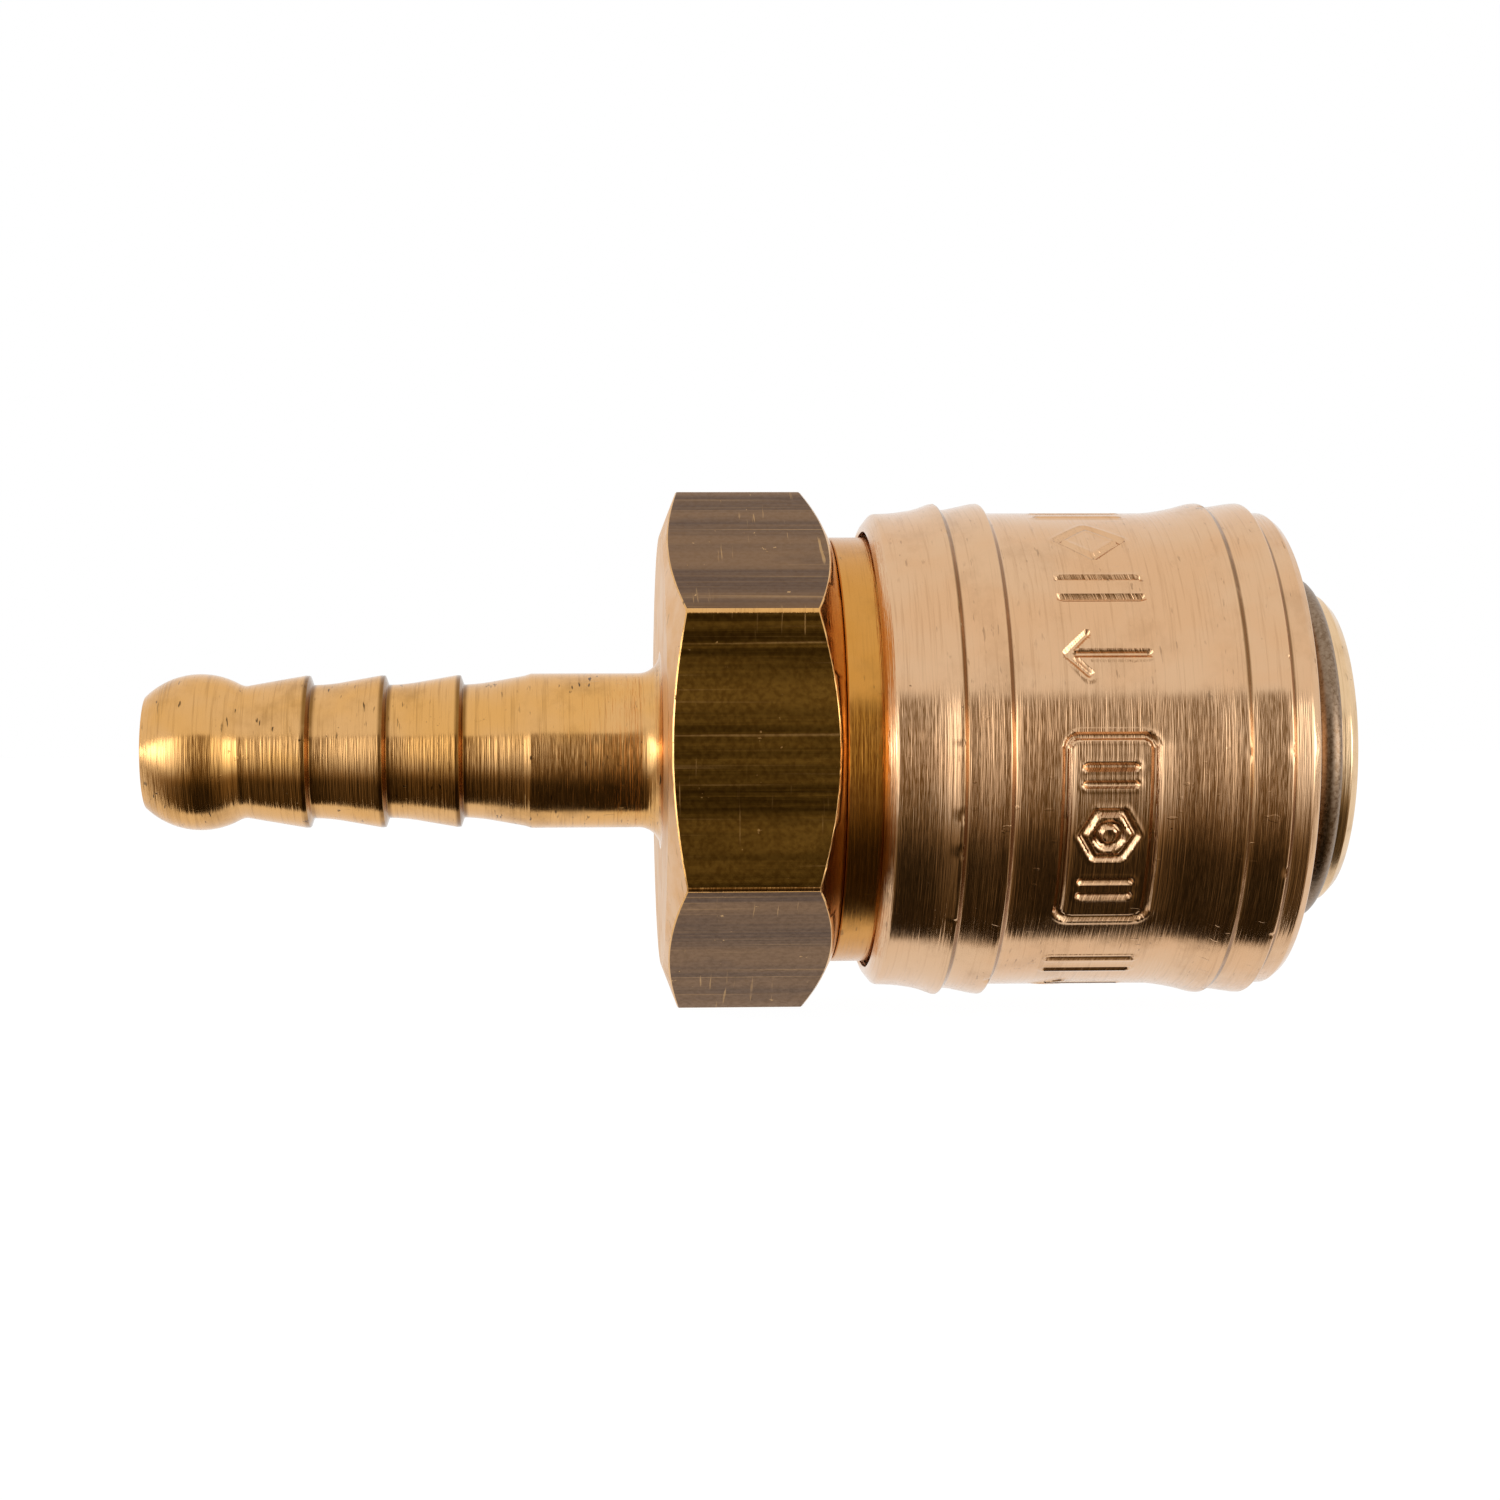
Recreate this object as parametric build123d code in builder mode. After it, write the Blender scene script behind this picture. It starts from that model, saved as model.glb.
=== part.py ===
"""Quick-release air hose coupling, DN 7.2, with a barbed tail for 6 mm hose.

The coupling lies along X. The origin is on the axis, in the plane of the mouth that the plug goes into,
and +X points out of the mouth. The hose tail points to -X, and two flats of the hexagon face -Y and +Y.
All sizes are in millimetres.
"""

import os
from math import cos, degrees, pi, radians, sin, sqrt, tan

from build123d import *

# ---------------------------------------------------------------- driving dimensions

# hexagon and hose tail
hex_across_flats = 22.0
hex_length = 8.2
hex_rear_face_d = 21.0  # flat ring left by the rear chamfer
hex_rear_chamfer = 21.0  # degrees from the end face
hex_front_chamfer = 30.0
hex_corner_break = 0.25
tail_land_d = 7.55  # plain land that the hose clip presses on
tail_land_length = 6.6
tail_land_edge = 0.05  # taken off the rear edge of the land
tail_land_edge_length = 0.35
tail_root_radius = 0.8
tail_taper_length = 2.95
tail_root_d = 6.5
barb_d = 7.42
barb_pitch = 3.66
barb_count = 3
barb_step = 0.26
barb_crest = 0.12  # width of a barb's flat top
neck_d = 6.4
neck_radius = 1.6
tip_ball_d = 7.6
tip_face_from_centre = 2.63
tail_bore_d = 4.2
tail_bore_chamfer = 0.4

# coupler body
nose_d = 15.1
nose_chamfer = 0.42
mouth_d = 12.0
mouth_chamfer = 0.3
socket_d = 10.0
spring_land_d = 16.8
collar_d = 20.76
collar_length = 5.9
collar_chamfer = 0.3
collar_web = 1.2
port_d = 8.6
port_length = 1.0
chamber_d = 12.8

# snap ring that stops the sleeve at the front
ring_wire_d = 1.3
ring_setback = 1.6  # mouth plane to the middle of the wire
ring_mean_d = 15.6
ring_gap = 3.2

# locking sleeve
sleeve_d = 23.1
ridge_height = 0.48
sleeve_rim_setback = 0.62  # outer front edge, behind the front face at the bore
front_land = 2.5
rear_land = 1.05
rim_round = 0.3
front_cone_gap = 1.6  # from the nose to the front cone's inner edge, on the radius
skirt_lip = 0.1
rear_edge_length = 0.8
sleeve_stroke = 1.5

# ridges on the sleeve, two at each end
rear_ridge_setback = 1.45  # sleeve's rear edge to the foot of the rear pair
front_ridge_setback = 5.95  # sleeve's rim to the foot of the front pair
grip_ramp = 1.95
grip_top = 0.35
rear_grip_top = 0.15
front_grip_ramp = 1.15
front_grip_top = 0.6
ridge_step = 0.2
ridge_foot_share = 0.42  # heights on the ramps and in the valleys, as shares of the ridge's height
rear_valley_share = 0.36
front_ramp_share = 0.5
front_valley_share = 0.58
ridge_wear = 0.02

# locking balls
ball_d = 4.0
ball_count = 4
ball_protrusion = 0.85  # how far a ball stands into the socket
ball_land = 0.2  # socket wall between the slots and the mouth's cone

# springs
sleeve_spring_wire = 1.1
sleeve_spring_space = 8.58
sleeve_spring_turns = 3  # working turns, between the closed ones
valve_spring_wire = 0.8
valve_spring_mean_d = 8.2
valve_spring_turns = 4
valve_spring_space = 9.2

# valve and seals
valve_travel = 3.2
valve_disc_thickness = 0.4
valve_disc_lip = 0.8  # how far out the disc backs the seal, as a share of the seal's radius
valve_flange_thickness = 1.5
valve_stem_length = 1.3
valve_stem_chamfer = 0.3
valve_crown_wall = 1.1
valve_crown_floor = 0.25
valve_window_width = 3.0
valve_window_share = 0.55  # of the crown's depth
valve_window_count = 4
valve_notch_r = 1.55
valve_notch_count = 6
seat_touch_setback = 0.2  # the valve seal's touch, inside the middle of the seat
plug_seal_section = 1.9
plug_seal_squeeze = 0.45  # how far the seal stands into the socket
seal_groove_share = 1.26  # the groove's width, in seal sections
seal_wall = 1.0  # between the ball slots and the seal's groove
seal_lip = 0.9  # between the groove and the shoulder that stops the plug
valve_seal_section = 1.5
gasket_thickness = 0.8
spigot_thread_d = 18.0
thread_pitch = 1.0
thread_depth_share = 0.54  # of the pitch
thread_crest_share = 0.1
thread_lead = 0.25  # plain length before the first tooth
thread_relief = 0.6  # plain length behind the last

# fits and clearances
seat_gap = 0.02  # parts that touch
running_gap = 0.08  # a part that slides in a bore, on the radius
skirt_gap = 0.27  # sleeve skirt round the collar, on the radius
ball_gap = 0.05
stop_gap = 0.15
thread_gap = 0.06
gasket_gap = 0.2  # the gasket's hole round the chamber, on the radius
spring_seat_gap = 0.4  # the valve spring in its seat, on the radius
spring_seat_depth = 1.3
spring_seat_lead = 0.6
stem_gap = 0.25  # the valve's stem inside its spring, on the radius
bore_entry_gap = 0.3  # the air passage's mouth inside the spring, on the radius
coil_gap = 0.03  # between the closed turns at a spring's ends
edge_break = 0.15

# ---------------------------------------------------------------- places along X

ball_r = ball_d / 2
slot_r = ball_r + ball_gap
nose_r = nose_d / 2
socket_r = socket_d / 2
mouth_r = mouth_d / 2
collar_r = collar_d / 2
chamber_r = chamber_d / 2
port_r = port_d / 2
sleeve_r = sleeve_d / 2
sleeve_bore_r = nose_r + running_gap
skirt_r = collar_r + skirt_gap
spring_land_r = spring_land_d / 2

x_ring = -ring_setback
x_sleeve_front = x_ring - ring_wire_d / 2 - seat_gap
x_ball = x_sleeve_front - front_land - slot_r
x_spring_front = x_ball - slot_r - rear_land
x_guide_end = x_spring_front - sleeve_stroke - stop_gap
x_collar_front = x_spring_front - sleeve_spring_space
x_hex_front = x_collar_front - collar_length
x_sleeve_rear = x_hex_front + sleeve_stroke + stop_gap
x_hex_rear = x_hex_front - hex_length

ball_orbit = socket_r - ball_protrusion + ball_r  # ball centres, from the axis, when locked
ball_lift = ball_protrusion + 2 * ball_gap
pocket_orbit = ball_orbit + ball_lift
x_mouth_cone = x_ball + slot_r + ball_land + (mouth_r - socket_r)

seal_groove_width = plug_seal_section * seal_groove_share
seal_groove_r = socket_r - plug_seal_squeeze + plug_seal_section + seat_gap
x_seal_front = x_ball - sleeve_stroke - slot_r - seal_wall
x_seal_rear = x_seal_front - seal_groove_width
x_plug_stop = x_seal_rear - seal_lip
x_port_end = x_plug_stop - port_length
x_chamber = x_port_end - (chamber_r - port_r)
x_gasket = x_collar_front - collar_web
x_spigot = x_gasket - gasket_thickness - 2 * seat_gap

thread_depth = thread_depth_share * thread_pitch
spigot_r = spigot_thread_d / 2
thread_core_r = spigot_r - thread_depth
spigot_core_r = thread_core_r - thread_gap
x_thread_front = x_spigot - thread_lead
x_thread_rear = x_hex_front + thread_relief

tip_r = tip_ball_d / 2
x_land_end = x_hex_rear - tail_land_length
x_first_root = x_land_end - tail_taper_length
x_last_crest = x_first_root - barb_step - (barb_count - 1) * barb_pitch
x_neck = x_last_crest - barb_pitch + 2 * barb_step
x_tip_centre = x_neck - sqrt(tip_r**2 - (neck_d / 2) ** 2)
x_tip = x_tip_centre - tip_face_from_centre

near_end = (Align.CENTER, Align.CENTER, Align.MIN)

os.makedirs("parts", exist_ok=True)


def save(part, name):
    """Writes one piece to its own file, named for its node."""
    part.label = name
    export_step(part, f"parts/{name}.step")


def ring_edges(piece, x, r):
    """The edges of a piece that run round the axis at x with radius r."""
    circles = piece.edges().filter_by(GeomType.CIRCLE)
    return circles.filter_by(lambda e: abs(e.arc_center.X - x) < 0.01 and abs(e.radius - r) < 0.01)


def ring_teeth(x_from, x_to, root_r, crest_r):
    """Points of a thread's outline seen in section, from x_from back to x_to: whole teeth of one pitch."""
    count = int((x_from - x_to) / thread_pitch)
    rise = thread_pitch * (1 - thread_crest_share) / 2
    points = []
    for n in range(count):
        x = x_from - n * thread_pitch
        points += [(x, root_r), (x - rise, crest_r), (x - thread_pitch + rise, crest_r)]
    return points + [(x_from - count * thread_pitch, root_r)]


# ---------------------------------------------------------------- hose tail with its hexagon

hex_corner_r = hex_across_flats / 2 / cos(pi / 6)
rear_face_r = hex_rear_face_d / 2
land_r = tail_land_d / 2
root_r = tail_root_d / 2
valve_spring_bore_r = (valve_spring_mean_d - valve_spring_wire) / 2
x_crown_front = x_plug_stop + valve_travel

# The seal stands in the corner between the valve's neck and its disc, and meets the conical seat.
valve_seal_r = valve_seal_section / 2
seat_touch_r = (port_r + chamber_r) / 2 - seat_touch_setback
x_seat_touch = x_port_end - (seat_touch_r - port_r)
x_valve_seal = x_seat_touch - (valve_seal_r + seat_gap) / sqrt(2)
valve_seal_orbit = seat_touch_r - (valve_seal_r + seat_gap) / sqrt(2)
x_valve_disc = x_valve_seal - valve_seal_r - seat_gap
x_flange_front = x_valve_disc - valve_disc_thickness
x_flange_rear = x_flange_front - valve_flange_thickness
x_valve_spring_seat = x_flange_rear - valve_spring_space

spring_seat_r = (valve_spring_mean_d + valve_spring_wire) / 2 + spring_seat_gap
x_chamber_floor = x_valve_spring_seat + spring_seat_depth
bore_r = tail_bore_d / 2
bore_entry_r = valve_spring_bore_r - bore_entry_gap

with BuildPart() as hose_tail:
    with BuildSketch(Plane.YZ.offset(x_hex_rear)):
        RegularPolygon(radius=hex_corner_r, side_count=6, rotation=90)
    extrude(amount=hex_length)
    fillet(hose_tail.edges().filter_by(Axis.X), hex_corner_break)
    # The two cones that break the hexagon's ends.
    with BuildSketch(Plane.XY):
        with BuildLine():
            Polyline(
                (x_hex_rear, 0),
                (x_hex_rear, rear_face_r),
                (x_hex_rear + (hex_corner_r - rear_face_r) * tan(radians(hex_rear_chamfer)), hex_corner_r),
                (x_hex_front - (hex_corner_r - collar_r) * tan(radians(hex_front_chamfer)), hex_corner_r),
                (x_hex_front, collar_r),
                (x_hex_front, 0),
                close=True,
            )
        make_face()
    revolve(axis=Axis.X, mode=Mode.INTERSECT)
    # Barbed tail.
    with BuildSketch(Plane.XY):
        with BuildLine():
            outline = [
                (x_land_end + tail_land_edge_length, land_r),
                (x_land_end - tail_land_edge, land_r - tail_land_edge),
                (x_first_root, root_r),
            ]
            for n in range(barb_count):
                x_crest = x_first_root - barb_step - n * barb_pitch
                outline.append((x_crest, barb_d / 2))
                outline.append((x_crest - barb_crest, barb_d / 2))
                if n < barb_count - 1:
                    outline.append((x_crest - barb_pitch + barb_step, root_r))
            outline.append((x_neck, neck_d / 2))
            Polyline((x_hex_rear, 0), (x_hex_rear, land_r), *outline)
            tip_edge_r = sqrt(tip_r**2 - tip_face_from_centre**2)
            ThreePointArc((x_neck, neck_d / 2), (x_tip_centre, tip_r), (x_tip, tip_edge_r))
            Polyline((x_tip, tip_edge_r), (x_tip, 0), (x_hex_rear, 0))
        make_face()
    revolve(axis=Axis.X)
    fillet(ring_edges(hose_tail, x_hex_rear, land_r), tail_root_radius)
    fillet(ring_edges(hose_tail, x_neck, neck_d / 2), neck_radius)
    # Threaded spigot that screws into the body.
    with BuildSketch(Plane.XY):
        with BuildLine():
            Polyline(
                (x_hex_front, 0),
                (x_spigot, 0),
                (x_spigot, spigot_core_r),
                *ring_teeth(x_thread_front, x_thread_rear, spigot_core_r, spigot_r - thread_gap),
                (x_hex_front, spigot_core_r),
                close=True,
            )
        make_face()
    revolve(axis=Axis.X)
    # Valve chamber, spring seat and air passage.
    with BuildSketch(Plane.XY):
        with BuildLine():
            Polyline(
                (x_spigot, 0),
                (x_spigot, chamber_r),
                (x_chamber_floor, chamber_r),
                (x_chamber_floor - spring_seat_lead, spring_seat_r),
                (x_valve_spring_seat, spring_seat_r),
                (x_valve_spring_seat, bore_entry_r),
                (x_valve_spring_seat - (bore_entry_r - bore_r), bore_r),
                (x_tip + tail_bore_chamfer, bore_r),
                (x_tip, bore_r + tail_bore_chamfer),
                (x_tip, 0),
                close=True,
            )
        make_face()
    revolve(axis=Axis.X, mode=Mode.SUBTRACT)
save(hose_tail.part, "hose_tail")

# ---------------------------------------------------------------- coupler body

with BuildPart() as coupler_body:
    with BuildSketch(Plane.XY):
        with BuildLine():
            Polyline(
                (0, 0),
                (0, nose_r - nose_chamfer),
                (-nose_chamfer, nose_r),
                (x_guide_end, nose_r),
                (x_guide_end - (spring_land_r - nose_r), spring_land_r),
                (x_collar_front, spring_land_r),
                (x_collar_front, collar_r - collar_chamfer),
                (x_collar_front - collar_chamfer, collar_r),
                (x_hex_front + seat_gap, collar_r),
                (x_hex_front + seat_gap, 0),
                close=True,
            )
        make_face()
        # Half-round groove for the snap ring.
        with Locations((x_ring, ring_mean_d / 2)):
            Circle(ring_wire_d / 2 + seat_gap, mode=Mode.SUBTRACT)
    revolve(axis=Axis.X)
    # Mouth, which narrows to the socket by a cone.
    with BuildSketch(Plane.XY):
        with BuildLine():
            Polyline(
                (0, 0),
                (0, mouth_r + mouth_chamfer),
                (-mouth_chamfer, mouth_r),
                (x_mouth_cone, mouth_r),
                (x_mouth_cone - mouth_r, 0),
                close=True,
            )
        make_face()
    revolve(axis=Axis.X, mode=Mode.SUBTRACT)
    # Plug socket, seal groove, valve port, valve chamber and thread.
    with BuildSketch(Plane.XY):
        with BuildLine():
            Polyline(
                (0, 0),
                (0, socket_r),
                (x_seal_front, socket_r),
                (x_seal_front, seal_groove_r),
                (x_seal_rear, seal_groove_r),
                (x_seal_rear, socket_r),
                (x_plug_stop, socket_r),
                (x_plug_stop, port_r),
                (x_port_end, port_r),
                (x_chamber, chamber_r),
                (x_gasket, chamber_r),
                (x_gasket, thread_core_r),
                *ring_teeth(x_thread_front, x_thread_rear, thread_core_r, spigot_r),
                (x_hex_front + seat_gap, thread_core_r),
                (x_hex_front + seat_gap, 0),
                close=True,
            )
        make_face()
    revolve(axis=Axis.X, mode=Mode.SUBTRACT)
    # Slanted slots: each lets its ball move back and outwards, and stops it from dropping through.
    for n in range(ball_count):
        turn = 2 * pi * (n + 0.5) / ball_count
        outwards = Vector(0, cos(turn), sin(turn))
        locked = Vector(x_ball, 0, 0) + outwards * ball_orbit
        freed = Vector(x_ball - sleeve_stroke, 0, 0) + outwards * pocket_orbit
        with Locations(locked, freed):
            Sphere(slot_r, mode=Mode.SUBTRACT)
        with Locations(Plane(origin=locked, z_dir=freed - locked)):
            Cylinder(slot_r, (freed - locked).length, align=near_end, mode=Mode.SUBTRACT)
        with Locations(Plane(origin=freed, z_dir=outwards)):
            Cylinder(slot_r, ball_r, align=near_end, mode=Mode.SUBTRACT)
save(coupler_body.part, "coupler_body")

# ---------------------------------------------------------------- locking sleeve

ridge_r = sleeve_r + ridge_height
x_rim = x_sleeve_front - sleeve_rim_setback
x_rear_foot = x_sleeve_rear + rear_ridge_setback
x_rear_crest = x_rear_foot + grip_ramp
x_rear_end = x_rear_crest + grip_ramp
x_front_foot = x_rim - front_ridge_setback
x_front_crest = x_front_foot + grip_ramp
x_front_valley = x_front_crest + grip_top + ridge_step
x_front_end = x_front_crest + grip_top + front_grip_ramp

with BuildPart() as locking_sleeve:
    with BuildSketch(Plane.XY):
        with BuildLine():
            Polyline(
                (x_sleeve_rear, skirt_r),
                (x_sleeve_rear, skirt_r + skirt_lip),
                (x_sleeve_rear + rear_edge_length * 0.15, sleeve_r - ridge_height * 0.8),
                (x_sleeve_rear + rear_edge_length * 0.6, sleeve_r - ridge_wear),
                (x_sleeve_rear + rear_edge_length, sleeve_r),
                (x_rear_foot, sleeve_r),
                (x_rear_foot + grip_ramp / 2, sleeve_r + ridge_height * ridge_foot_share),
                (x_rear_crest, ridge_r),
                (x_rear_crest + ridge_step, sleeve_r + ridge_height * rear_valley_share),
                (x_rear_end - rear_grip_top, ridge_r),
                (x_rear_end, ridge_r),
                (x_rear_end + ridge_step * 1.6, sleeve_r),
                (x_front_foot, sleeve_r),
                (x_front_foot + grip_ramp / 2, sleeve_r + ridge_height * front_ramp_share),
                (x_front_crest, ridge_r - ridge_wear),
                (x_front_crest + grip_top, ridge_r),
                (x_front_valley, sleeve_r + ridge_height * front_valley_share),
                (x_front_end, ridge_r),
                (x_front_end + front_grip_top, ridge_r),
                (x_front_end + front_grip_top + ridge_step, sleeve_r),
                (x_rim - rim_round * 1.5, sleeve_r - ridge_wear),
                (x_rim - rim_round * 0.4, sleeve_r - rim_round * 0.43),
                (x_rim, sleeve_r - rim_round),
                (x_sleeve_front, nose_r + front_cone_gap),
                (x_sleeve_front, sleeve_bore_r + edge_break),
                (x_sleeve_front - edge_break, sleeve_bore_r),
                (x_spring_front, sleeve_bore_r),
                (x_spring_front, skirt_r),
                close=True,
            )
        make_face()
        # Pocket that carries the balls, round at the top.
        with Locations((x_ball, pocket_orbit)):
            Circle(slot_r, mode=Mode.SUBTRACT)
        with Locations((x_ball, (pocket_orbit + socket_r) / 2)):
            Rectangle(2 * slot_r, pocket_orbit - socket_r, mode=Mode.SUBTRACT)
    revolve(axis=Axis.X)
save(locking_sleeve.part, "locking_sleeve")

# ---------------------------------------------------------------- snap ring

with BuildPart() as snap_ring:
    with BuildSketch(Plane.XY):
        with Locations((x_ring, ring_mean_d / 2)):
            Circle(ring_wire_d / 2)
    gap_angle = degrees(ring_gap / (ring_mean_d / 2))
    revolve(axis=Axis.X, revolution_arc=360 - gap_angle)
save(snap_ring.part, "snap_ring")

# ---------------------------------------------------------------- locking balls

for n in range(ball_count):
    turn = 2 * pi * (n + 0.5) / ball_count
    with BuildPart() as locking_ball:
        with Locations((x_ball, ball_orbit * cos(turn), ball_orbit * sin(turn))):
            Sphere(ball_r)
    save(locking_ball.part, f"locking_ball_{n + 1}")


# ---------------------------------------------------------------- springs


def coil_spring(x_from, x_to, wire_d, mean_r, active_turns):
    """A round-wire spring along X between two planes, with a closed turn at each end."""
    start = min(x_from, x_to) + wire_d / 2
    length = abs(x_to - x_from) - wire_d
    closed = wire_d + coil_gap
    active = length - 2 * closed
    stages = (
        (start, closed, closed),
        (start + closed, active, active / active_turns),
        (start + closed + active, closed, closed),
    )
    with BuildPart() as spring:
        for x, height, pitch in stages:
            with BuildLine() as coil:
                Helix(pitch=pitch, height=height, radius=mean_r, center=(x, 0, 0), direction=(1, 0, 0))
            foot = coil.line @ 0
            around = Vector(1, 0, 0).cross(foot - Vector(x, 0, 0))
            with BuildSketch(Plane(origin=foot, x_dir=(1, 0, 0), z_dir=around)):
                Circle(wire_d / 2)
            sweep(path=coil.line, is_frenet=True)
    return spring.part


sleeve_spring_mean_r = (spring_land_r + skirt_r) / 2
save(
    coil_spring(
        x_spring_front - seat_gap,
        x_collar_front + seat_gap,
        sleeve_spring_wire,
        sleeve_spring_mean_r,
        sleeve_spring_turns,
    ),
    "sleeve_spring",
)
save(
    coil_spring(
        x_flange_rear - seat_gap,
        x_valve_spring_seat + seat_gap,
        valve_spring_wire,
        valve_spring_mean_d / 2,
        valve_spring_turns,
    ),
    "valve_spring",
)

# ---------------------------------------------------------------- valve and its seal

crown_r = port_r - running_gap
crown_bore_r = crown_r - valve_crown_wall
neck_r = valve_seal_orbit - valve_seal_r - seat_gap
x_neck_front = x_valve_seal + valve_seal_r + seat_gap
x_crown_floor = x_neck_front + valve_crown_floor
flange_r = chamber_r - running_gap
disc_r = valve_seal_orbit + valve_seal_r * valve_disc_lip
stem_r = valve_spring_bore_r - stem_gap
x_stem_end = x_flange_rear - valve_stem_length - valve_stem_chamfer

with BuildPart() as valve_poppet:
    with BuildSketch(Plane.XY):
        with BuildLine():
            Polyline(
                (x_crown_floor, 0),
                (x_crown_floor, crown_bore_r),
                (x_crown_front, crown_bore_r),
                (x_crown_front, crown_r - edge_break),
                (x_crown_front - edge_break, crown_r),
                (x_neck_front, crown_r),
                (x_neck_front, neck_r),
                (x_valve_disc, neck_r),
                (x_valve_disc, disc_r),
                (x_flange_front, disc_r),
                (x_flange_front, flange_r),
                (x_flange_rear, flange_r),
                (x_flange_rear, stem_r),
                (x_stem_end + valve_stem_chamfer, stem_r),
                (x_stem_end, stem_r - valve_stem_chamfer),
                (x_stem_end, 0),
                close=True,
            )
        make_face()
    revolve(axis=Axis.X)
    # Windows that let the air into the crown, and notches in the flange for it to pass.
    window_length = (x_crown_front - x_crown_floor) * valve_window_share
    for n in range(valve_window_count):
        turn = 360 / valve_window_count * (n + 0.5)
        with Locations(Location((x_crown_floor + window_length / 2, 0, 0), (turn, 0, 0))):
            Box(window_length, valve_window_width, port_r * 2, align=near_end, mode=Mode.SUBTRACT)
    with BuildSketch(Plane.YZ.offset(x_flange_rear)):
        with PolarLocations(flange_r, valve_notch_count):
            Circle(valve_notch_r)
    extrude(amount=valve_flange_thickness, mode=Mode.SUBTRACT)
save(valve_poppet.part, "valve_poppet")

with BuildPart() as valve_seal:
    with BuildSketch(Plane.XY):
        with Locations((x_valve_seal, valve_seal_orbit)):
            Circle(valve_seal_r)
    revolve(axis=Axis.X)
save(valve_seal.part, "valve_seal")

# ---------------------------------------------------------------- plug seal and body gasket

plug_seal_r = plug_seal_section / 2
x_plug_seal = (x_seal_front + x_seal_rear) / 2

with BuildPart() as plug_seal:
    with BuildSketch(Plane.XY):
        with Locations((x_plug_seal, seal_groove_r - seat_gap - plug_seal_r)):
            Circle(plug_seal_r)
    revolve(axis=Axis.X)
save(plug_seal.part, "plug_seal")

with BuildPart() as body_gasket:
    with BuildSketch(Plane.YZ.offset(x_gasket - seat_gap)):
        Circle(spigot_core_r)
        Circle(chamber_r + gasket_gap, mode=Mode.SUBTRACT)
    extrude(amount=-gasket_thickness)
save(body_gasket.part, "body_gasket")
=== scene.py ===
import random
from math import acos, atan2, copysign, cos, degrees, hypot, pi, radians, sin, tan

import bmesh
import bpy
from mathutils import Matrix, Vector


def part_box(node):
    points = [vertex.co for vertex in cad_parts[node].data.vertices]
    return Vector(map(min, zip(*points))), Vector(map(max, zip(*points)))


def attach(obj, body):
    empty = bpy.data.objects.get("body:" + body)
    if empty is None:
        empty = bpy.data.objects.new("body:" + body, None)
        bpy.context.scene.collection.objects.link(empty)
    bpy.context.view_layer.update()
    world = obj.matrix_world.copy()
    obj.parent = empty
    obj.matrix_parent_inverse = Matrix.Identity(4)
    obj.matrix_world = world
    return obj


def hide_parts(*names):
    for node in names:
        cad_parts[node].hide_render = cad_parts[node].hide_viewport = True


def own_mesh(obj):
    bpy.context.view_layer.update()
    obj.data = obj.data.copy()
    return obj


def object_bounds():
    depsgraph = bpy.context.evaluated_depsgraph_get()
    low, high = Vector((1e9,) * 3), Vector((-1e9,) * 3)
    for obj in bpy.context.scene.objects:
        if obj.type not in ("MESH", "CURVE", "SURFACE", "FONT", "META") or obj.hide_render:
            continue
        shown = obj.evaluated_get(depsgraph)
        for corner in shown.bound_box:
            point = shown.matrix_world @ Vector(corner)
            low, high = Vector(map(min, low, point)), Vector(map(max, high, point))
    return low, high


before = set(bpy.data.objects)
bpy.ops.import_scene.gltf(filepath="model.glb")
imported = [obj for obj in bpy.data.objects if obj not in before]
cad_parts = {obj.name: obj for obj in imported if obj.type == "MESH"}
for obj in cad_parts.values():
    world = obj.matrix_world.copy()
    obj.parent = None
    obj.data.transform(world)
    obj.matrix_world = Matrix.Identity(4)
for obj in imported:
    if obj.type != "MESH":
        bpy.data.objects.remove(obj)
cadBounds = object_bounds()
print("stage: frame loaded")

mm = 0.001

# where things are, in mm along the axis, read from the frame
tailLow, tailHigh = (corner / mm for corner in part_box("hose_tail"))
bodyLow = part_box("coupler_body")[0] / mm
sleeveLow, sleeveHigh = (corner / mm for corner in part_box("locking_sleeve"))
ringLow, ringHigh = (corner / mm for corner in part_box("snap_ring"))
ballLow, ballHigh = (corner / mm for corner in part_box("locking_ball_1"))
ballX = (ballLow.x + ballHigh.x) / 2
ringX = (ringLow.x + ringHigh.x) / 2
seam = 0.02  # the tail's hexagon stops this far behind the body


# shader maths: a socket that takes part in python expressions
class Socket:
    def __init__(self, tree, out):
        self.tree, self.out = tree, out

    def make(self, kind, settings=None, sockets=None, out=0):
        return makeNode(self.tree, kind, settings, sockets, out)

    def math(self, operation, *values):  # any operation of a Math node
        return self.make("ShaderNodeMath", {"operation": operation}, dict(enumerate(values)))

    def __add__(self, other):
        return self.math("ADD", self, other)

    def __sub__(self, other):
        return self.math("SUBTRACT", self, other)

    def __rsub__(self, other):
        return self.math("SUBTRACT", other, self)

    def __mul__(self, other):
        return self.math("MULTIPLY", self, other)

    def __neg__(self):
        return self.math("MULTIPLY", self, -1.0)

    def least(self, other):
        return self.math("MINIMUM", self, other)

    def most(self, other):
        return self.math("MAXIMUM", self, other)

    def size(self):
        return self.math("ABSOLUTE", self)

    def rise(self, start, end, low=0.0, high=1.0):  # low at start, high at end, smooth between
        ends = {"Value": self, "From Min": start, "From Max": end, "To Min": low, "To Max": high}
        return self.make("ShaderNodeMapRange", {"interpolation_type": "SMOOTHSTEP"}, ends)

    def tint(self, low, high):  # one colour where this is 0, the other where it is 1
        return self.make("ShaderNodeMix", {"data_type": "RGBA"}, {0: self, 6: low, 7: high}, out=2)


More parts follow.
